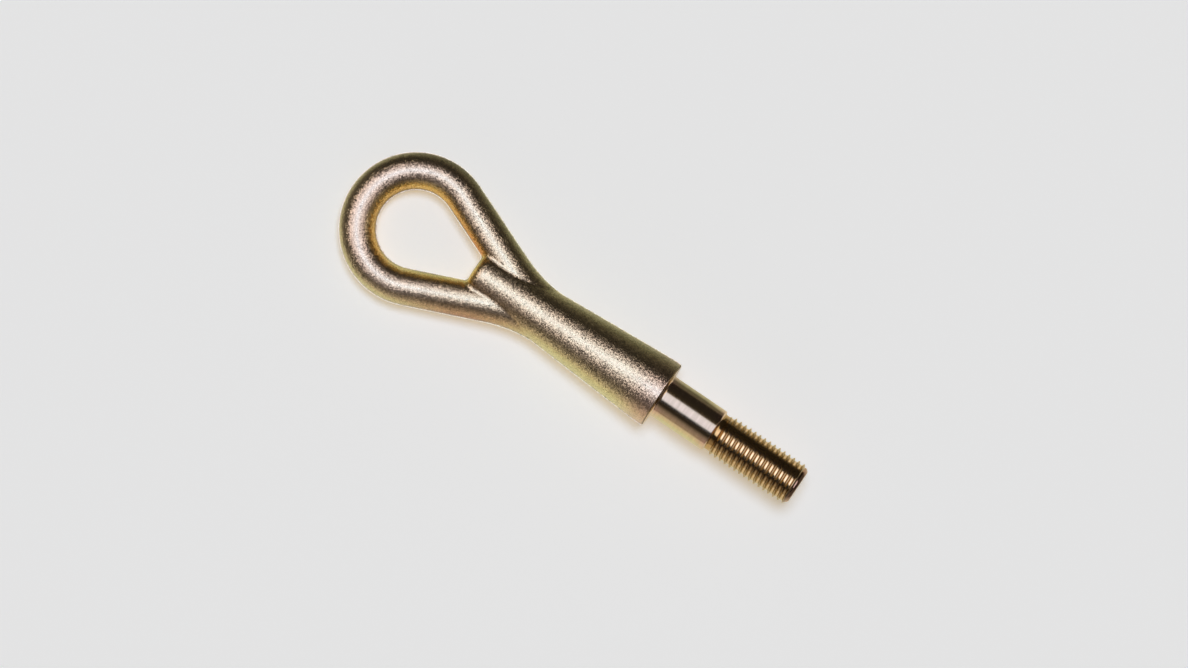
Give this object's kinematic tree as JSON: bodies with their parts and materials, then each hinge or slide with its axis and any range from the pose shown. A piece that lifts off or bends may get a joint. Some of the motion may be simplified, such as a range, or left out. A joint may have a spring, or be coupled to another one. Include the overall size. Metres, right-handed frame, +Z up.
{
  "type": "tow eye",
  "caption": "Forged steel tow eye: a loop of round bar on a tapered shank, with a shoulder, a plain pilot and a threaded stud that screws into a vehicle's towing socket.",
  "frame": {"origin": "centre of the shoulder face, on the axis of the stud", "axes": "+X along the stud's axis towards its threaded tip, +Y across the eye in its own plane, +Z up, square to the plane of the eye"},
  "size_m": [0.1848, 0.0532, 0.0244],
  "materials": {
    "plated_steel": "yellow-passivated zinc plate, grainy on the forged surface and smooth on the turned stud"
  },
  "bodies": {
    "root": {"tow_eye": "plated_steel"}
  },
  "joints": []
}
